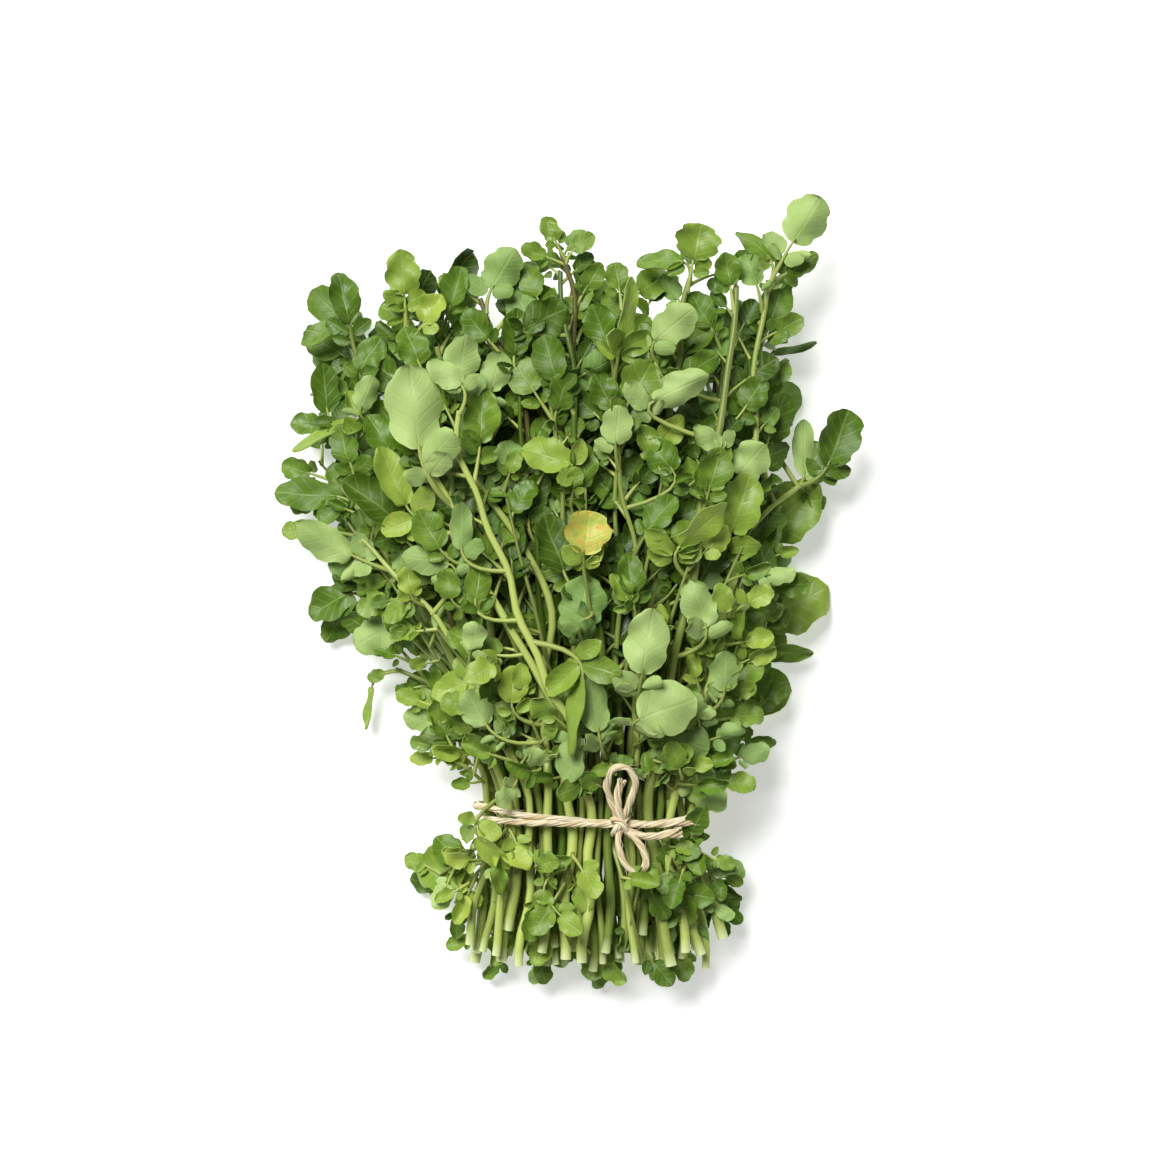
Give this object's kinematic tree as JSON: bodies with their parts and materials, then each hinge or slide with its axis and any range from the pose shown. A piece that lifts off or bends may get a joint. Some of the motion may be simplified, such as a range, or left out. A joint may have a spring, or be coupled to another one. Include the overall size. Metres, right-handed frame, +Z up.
{
  "type": "watercress bunch",
  "caption": "Bunch of leafy watercress shoots lying flat, their bare stems gathered and tied with a bow of natural twine.",
  "frame": {"origin": "middle of the flat underside of the twine, on the surface that the bunch lies on", "axes": "+Y along the stems from the cut ends to the leaf tips, +X to the right across the bunch, +Z up"},
  "size_m": [0.1782, 0.2333, 0.0511],
  "materials": {
    "leaf": "satin",
    "stem": "satin",
    "twine": "matte"
  },
  "bodies": {
    "root": {"arching_left": "leaf", "bright_tip": "leaf", "drooping_left": "leaf", "far_left_low": "leaf", "far_right_spray": "leaf", "folded_leaf": "leaf", "great_leaf": "leaf", "grey_leaves": "leaf", "inner_right": "leaf", "left_edge": "leaf", "left_fan": "leaf", "long_bare_stem": "leaf", "middle": "leaf", "purple_stem": "leaf", "right_edge": "leaf", "right_middle": "leaf", "round_leaf": "leaf", "row1_shoot_1": "leaf", "row1_shoot_2": "leaf", "row1_shoot_3": "leaf", "row1_shoot_4": "leaf", "row1_shoot_5": "leaf", "row1_shoot_6": "leaf", "row1_shoot_7": "leaf", "row1_shoot_8": "leaf", "row1_shoot_9": "leaf", "row2_shoot_1": "leaf", "row2_shoot_10": "leaf", "row2_shoot_11": "leaf", "row2_shoot_2": "leaf", "row2_shoot_3": "leaf", "row2_shoot_4": "leaf", "row2_shoot_5": "leaf", "row2_shoot_6": "leaf", "row2_shoot_7": "leaf", "row2_shoot_8": "leaf", "row2_shoot_9": "leaf", "row3_shoot_1": "leaf", "row3_shoot_10": "leaf", "row3_shoot_11": "leaf", "row3_shoot_2": "leaf", "row3_shoot_3": "leaf", "row3_shoot_4": "leaf", "row3_shoot_5": "leaf", "row3_shoot_6": "leaf", "row3_shoot_7": "leaf", "row3_shoot_8": "leaf", "row3_shoot_9": "leaf", "top_right_spray": "leaf", "top_sprig": "leaf", "twine": "twine", "upper_left": "leaf"}
  },
  "joints": []
}
